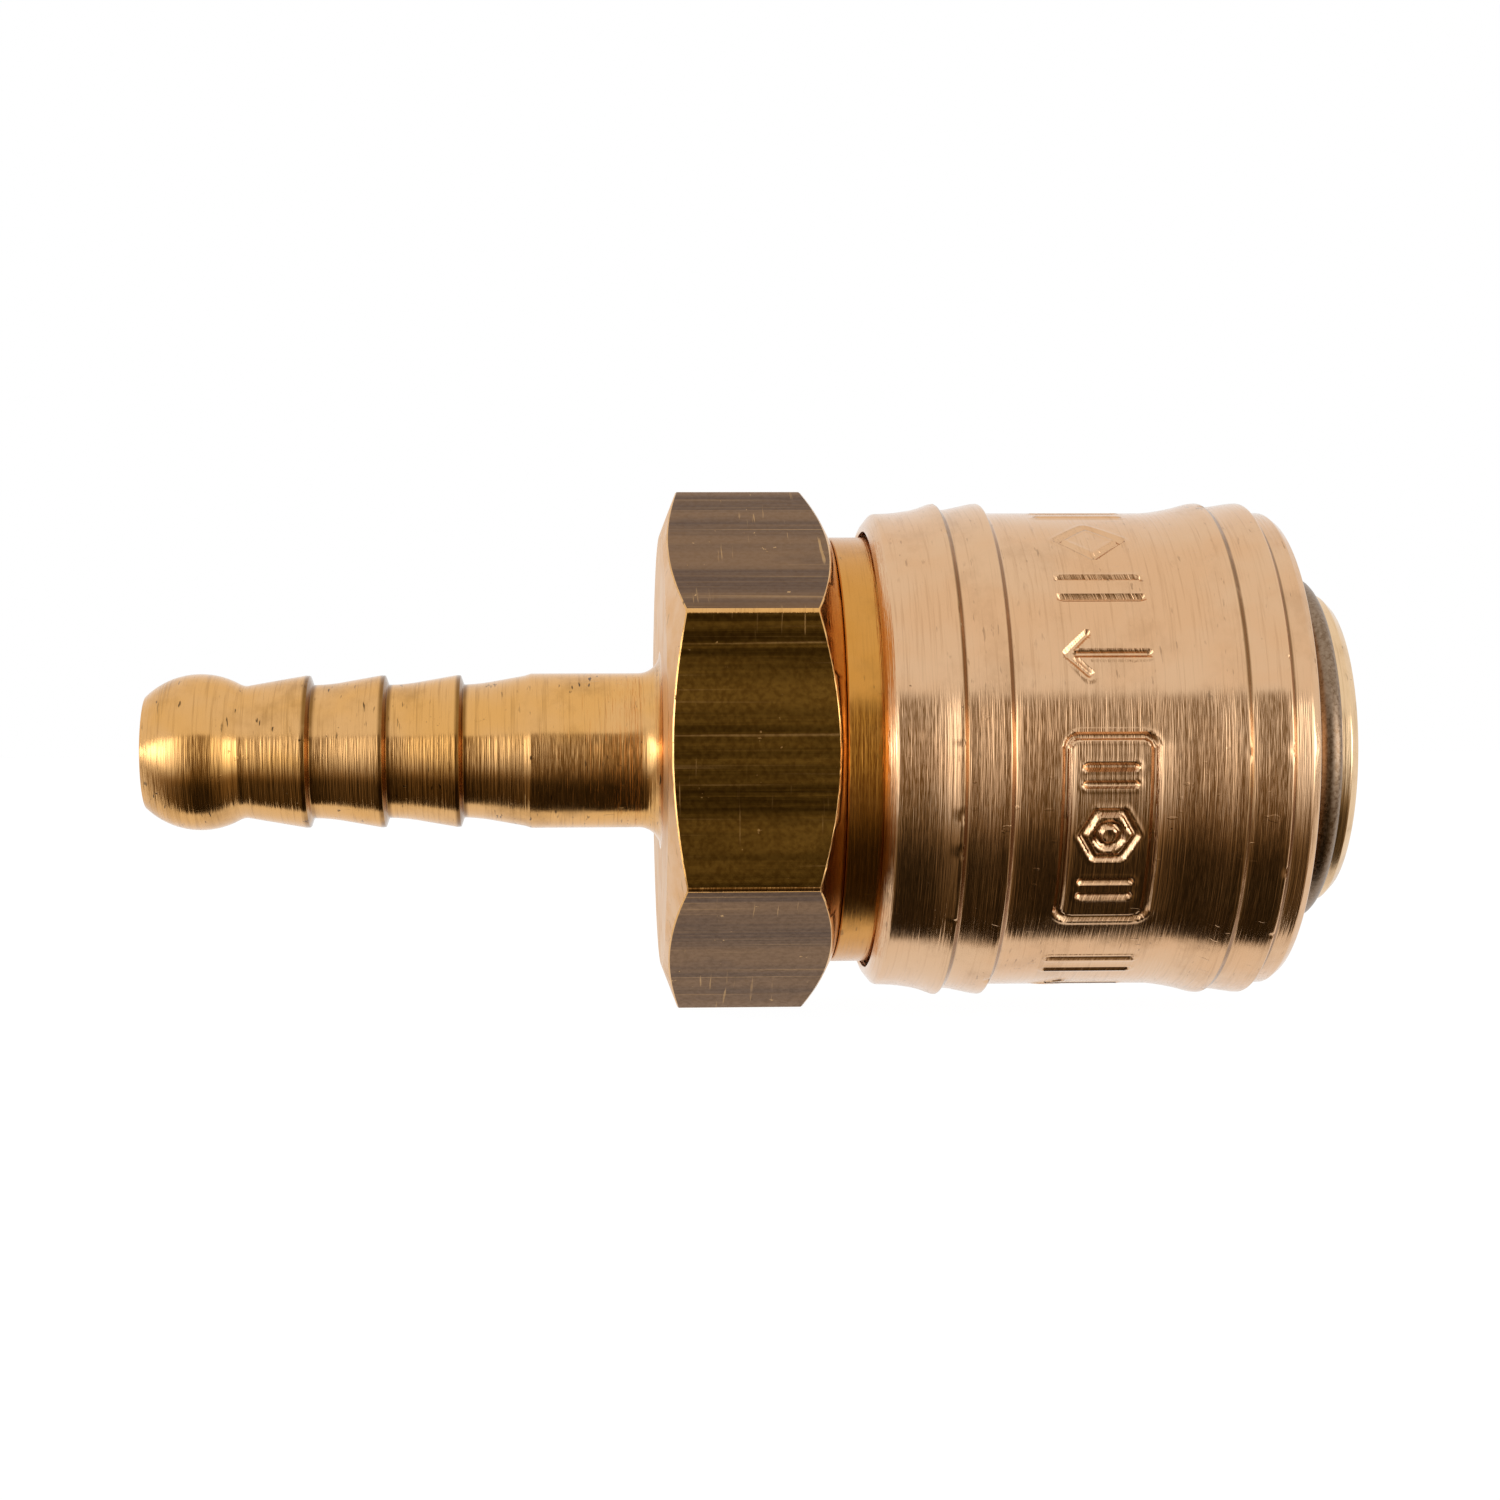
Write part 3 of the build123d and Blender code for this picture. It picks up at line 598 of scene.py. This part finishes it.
def ringMark(radius, count):
    angles = [2 * pi * n / count for n in range(count)]
    points = [(radius * cos(a), radius * sin(a)) for a in angles]
    return list(zip(points, points[1:] + points[:1]))


def frameMark(width, height, corner):
    across, up = width / 2 - corner, height / 2 - corner
    points = []
    for quarter, (cx, cy) in enumerate(((across, up), (-across, up), (-across, -up), (across, -up))):
        for step in range(5):
            a = (quarter + step / 4) * pi / 2
            points.append((cx + corner * cos(a), cy + corner * sin(a)))
    return list(zip(points, points[1:] + points[:1]))


def stampMarks():  # plain signs: (angle above the middle in degrees, lines as pairs of points in mm)
    framed = frameMark(4.05, 9.2, 0.55) + ringMark(1.25, 6) + ringMark(0.55, 14)
    framed += [((-1.1, side * 2.4), (1.1, side * 2.4)) for side in (-1, 1)]
    framed += [((-1.1, side * 3.2), (1.1, side * 3.2)) for side in (-1, 1)]
    arrow = [((-1.9, 0), (1.9, 0)), ((-1.9, 0), (-0.9, 1.0)), ((-1.9, 0), (-0.9, -1.0))]
    bars = [((-1.9, -0.6), (1.9, -0.6)), ((-1.9, 0.6), (1.9, 0.6))]
    diamond = ringMark(1.5, 4)
    return [(-20, framed), (22, arrow), (40, bars), (58, diamond), (77, bars), (-80, arrow), (-62, bars)]


def lineDistance(u, v, line):
    (ax, ay), (bx, by) = line
    dx, dy = bx - ax, by - ay
    share = max(0.0, min(1.0, ((u - ax) * dx + (v - ay) * dy) / (dx * dx + dy * dy)))
    return hypot(u - ax - share * dx, v - ay - share * dy)


def smooth(value, start, end):
    share = max(0.0, min(1.0, (value - start) / (end - start)))
    return share * share * (3 - 2 * share)


def makeSleeve(s):
    rear, front = sleeveLow.x, sleeveHigh.x
    wall, bore, skirt = s["wall"], s["bore"], s["skirt"]
    rim = front - s["rimBack"]
    back, fore = sleeveBack, sleeveFore
    points = [(rear, skirt + s["skirtEdge"], 0.04), (rear + s["skirtEdge"], wall - s["rearDrop"], 0.12)]
    points += [(rear + s["rearEdge"], wall - 0.03, 0.12)]
    points += [(back + x, wall + up, rounding) for x, up, rounding in s["backRidges"]]
    bandStart = s["bandMiddle"] - s["bandWidth"] / 2
    points += [(bandStart + s["bandWidth"] * n / s["bandRows"], wall, 0) for n in range(s["bandRows"] + 1)]
    points += [(fore + x, wall + up, rounding) for x, up, rounding in s["foreRidges"]]
    points += [(rim - s["rimLead"], wall, 0.06), (rim, s["rim"], 0.06), (front, s["frontFace"], 0.08)]
    points += [(front, bore + s["boreEdge"], 0.04), (front - s["boreEdge"], bore, 0.04)]
    points += [(ballX + s["slot"], bore, 0.03)]
    points += arc(ballX, s["pocket"], s["slot"], 0, 180, 14)
    points += [(ballX - s["slot"], bore, 0.03), (s["shoulder"], bore, 0.03), (s["shoulder"], skirt, 0.1)]
    points += [(rear + s["skirtEdge"], skirt, 0.02)]
    shape = spun(points, s["fineSteps"], s["fineFrom"], s["fineSweep"])
    rest = spun(points, s["coarseSteps"], s["fineFrom"] + s["fineSweep"], 360 - s["fineSweep"])
    joined = bpy.data.meshes.new("rest")
    rest.to_mesh(joined)
    rest.free()
    shape.from_mesh(joined)
    bpy.data.meshes.remove(joined)
    bmesh.ops.remove_doubles(shape, verts=shape.verts[:], dist=1e-6)
    marks = stampMarks()
    half = s["stampLine"] / 2
    for v in shape.verts:
        x, r = v.co.x / mm, hypot(v.co.y, v.co.z) / mm
        if abs(x - s["bandMiddle"]) > s["bandWidth"] / 2 - 0.05 or abs(r - wall) > 0.01:
            continue
        turn = atan2(v.co.z, -v.co.y)
        near = 9.0  # mm, further than any mark's edge
        for angle, lines in marks:
            along = (turn - radians(angle)) * wall
            if abs(along) < s["longestMark"]:
                near = min([near] + [lineDistance(x - s["bandMiddle"], along, line) for line in lines])
        drop = s["stampDepth"] * (1 - smooth(near, half - 0.10, half + 0.06))
        lift = s["burr"] * smooth(near, half, half + 0.08) * (1 - smooth(near, half + 0.08, half + 0.30))
        v.co.y *= (r - drop + lift) / r
        v.co.z *= (r - drop + lift) / r
    dice = random.Random(7)
    crests = [v for v in shape.verts if hypot(v.co.y, v.co.z) / mm > wall + s["ridge"] - 0.035]
    tops = [back + x for x in s["backCrests"]] + [fore + x for x in s["foreCrests"]]
    knocks = []
    for n in range(s["knocks"]):
        angle, top = dice.uniform(-pi / 2, pi / 2), dice.choice(tops)
        knocks.append((angle, top, dice.uniform(*s["knockWidth"]), dice.uniform(*s["knockDepth"])))
    for v in crests:
        x, turn = v.co.x / mm, atan2(v.co.z, -v.co.y)
        for angle, top, width, depth in knocks:
            reach = hypot((turn - angle) * wall / width, (x - top) / s["knockLength"])
            if reach < 1:
                v.co.y *= 1 - depth * (1 - reach) / wall
                v.co.z *= 1 - depth * (1 - reach) / wall
    looks = [brassSleeve]
    finishPiece(shape, "sleevePiece", "locking_sleeve", "sleeve", looks, 40, weighted=False)


# snap ring: an open ring of round wire with cut, softened ends
ringShape = {"mean": 7.8, "gap": 3.2, "steps": 180, "around": 28, "endEdge": 0.15}


def makeRing(r):
    wire = (ringHigh.x - ringLow.x) / 2
    shape = bmesh.new()
    at = Matrix.Translation((ringX * mm, 0, r["mean"] * mm)) @ Matrix.Rotation(pi / 2, 4, "X")
    bmesh.ops.create_circle(shape, segments=r["around"], radius=wire * mm, matrix=at, cap_ends=False)
    # the wire starts level with the middle, on the side away from the viewer, as the solid does
    quarter = Matrix.Rotation(radians(-90), 3, "X")
    bmesh.ops.rotate(shape, verts=shape.verts[:], cent=(0, 0, 0), matrix=quarter)
    sweep = 360 - degrees(r["gap"] / r["mean"])
    axis = {"cent": (0, 0, 0), "axis": (1, 0, 0), "angle": radians(sweep), "steps": r["steps"]}
    bmesh.ops.spin(shape, geom=shape.verts[:] + shape.edges[:], use_merge=False, **axis)
    bmesh.ops.remove_doubles(shape, verts=shape.verts[:], dist=1e-7)
    openEdges = [e for e in shape.edges if e.is_boundary]
    caps = bmesh.ops.holes_fill(shape, edges=openEdges, sides=0)["faces"]
    rims = list({e for f in caps for e in f.edges})
    settings = {"offset": r["endEdge"] * mm, "segments": 3, "profile": 0.5}
    bmesh.ops.bevel(shape, geom=rims, affect="EDGES", material=-1, **settings)
    finishPiece(shape, "ringPiece", "snap_ring", "coupler", [ringWire], sharp=40)


# the small inner parts keep their solids' shape, with smooth faces
def smoothCopy(node, body, material, sharp=30):
    shape = bmesh.new()
    shape.from_mesh(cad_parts[node].data)
    bmesh.ops.remove_doubles(shape, verts=shape.verts[:], dist=1e-7)
    return finishPiece(shape, node + "Piece", node, body, [material], sharp)


makeTail(tail)
makeBody(body)
makeSleeve(sleeve)
makeRing(ringShape)
for number in (1, 2, 3, 4):
    smoothCopy(f"locking_ball_{number}", f"ball_{number}", ballSteel)
# each spring gets a mesh of its own
sleeveSpring = smoothCopy("sleeve_spring", "coupler", springWire)
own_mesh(sleeveSpring)
valveSpring = smoothCopy("valve_spring", "coupler", springWire)
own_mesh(valveSpring)
smoothCopy("valve_poppet", "valve", brassBody)
smoothCopy("valve_seal", "valve", blackRubber)
smoothCopy("plug_seal", "coupler", blackRubber)
smoothCopy("body_gasket", "coupler", redFibre)
print("stage: pieces")

# floor, light and camera
studio = {
    # the darker strip in front, its rise towards the sides and its most; then the bright panels
    "low": 0.018, "middle": 0.20, "sides": 26.0, "window": 7.0, "bright": 0.96, "warm": (1.0, 0.68, 0.32),
    "strip": (-58, 12), "above": (23.5, 27), "below": (-101, -106),  # degrees up from straight in front
    # camera, in mm and degrees
    "distance": 138.0, "footX": -37.5, "aimX": -31.6, "height": 0.3, "roll": -0.25,
    "lens": 67.6, "shift": 0.0465,
    "floorGlow": 0.985, "floorColour": (0.05, 0.05, 0.05), "floorSize": 3.0,
}


def makeFloor(s):
    shape = bmesh.new()
    at = Matrix.Translation((0, 0, cadBounds[0].z))
    bmesh.ops.create_grid(shape, x_segments=1, y_segments=1, size=s["floorSize"], matrix=at)
    mesh = bpy.data.meshes.new("floor")
    shape.to_mesh(mesh)
    shape.free()
    floor = bpy.data.objects.new("floor", mesh)
    bpy.context.scene.collection.objects.link(floor)
    material = bpy.data.materials.new("paleFloor")
    material.use_nodes = True
    tree = material.node_tree
    tree.nodes.clear()
    glow = makeNode(tree, "ShaderNodeEmission", None, {"Color": (1, 1, 1), "Strength": s["floorGlow"]})
    matt = makeNode(tree, "ShaderNodeBsdfDiffuse", None, {"Color": s["floorColour"]})
    both = makeNode(tree, "ShaderNodeAddShader", None, {0: glow, 1: matt})
    output = tree.nodes.new("ShaderNodeOutputMaterial")
    tree.links.new(both.out, output.inputs["Surface"])
    mesh.materials.append(material)
    floor.visible_glossy = False  # the metal sees the studio, not the floor


def makeStudio(s):
    world = bpy.data.worlds.new("studio")
    bpy.context.scene.world = world
    world.use_nodes = True
    tree = world.node_tree
    tree.nodes.clear()
    way = makeNode(tree, "ShaderNodeTexCoord", out=0)
    x = makeNode(tree, "ShaderNodeSeparateXYZ", None, {0: way})
    y, z = (Socket(tree, x.out.node.outputs[n]) for n in (1, 2))
    height = z.math("ARCTAN2", z, -y) * (180 / pi)  # degrees up from straight in front, round the part's axis
    front = height.rise(*s["strip"], s["low"], s["middle"])
    front = (front * (x * x * s["sides"] + 1.0)).least(s["window"])
    bright = height.rise(*s["above"]).most(height.rise(*s["below"]))
    level = front * (1 - bright) + bright * s["bright"]
    seen = makeNode(tree, "ShaderNodeLightPath", out=0)
    level = level * (1 - seen) + seen  # plain white where nothing is in the way
    warmth = level.rise(0.08, 0.75).tint(s["warm"], (1, 1, 1))
    sky = makeNode(tree, "ShaderNodeBackground", None, {"Color": warmth, "Strength": level})
    output = tree.nodes.new("ShaderNodeOutputWorld")
    tree.links.new(sky.out, output.inputs["Surface"])


def makeCamera(s):
    data = bpy.data.cameras.new("camera")
    data.lens, data.sensor_width = s["lens"], 36.0
    data.clip_start, data.clip_end = 0.005, 20.0
    camera = bpy.data.objects.new("camera", data)
    bpy.context.scene.collection.objects.link(camera)
    camera.location = (s["footX"] * mm, -s["distance"] * mm, s["height"] * mm)
    data.shift_x = s["shift"]
    look = (Vector((s["aimX"] * mm, 0, 0)) - camera.location).to_track_quat("-Z", "Y")
    camera.rotation_mode = "QUATERNION"
    camera.rotation_quaternion = look @ Matrix.Rotation(radians(s["roll"]), 3, "Z").to_quaternion()
    bpy.context.scene.camera = camera


makeFloor(studio)
makeStudio(studio)
makeCamera(studio)
bpy.context.scene.view_settings.view_transform = "Standard"
bpy.context.scene.view_settings.look = "None"
print("stage: studio")
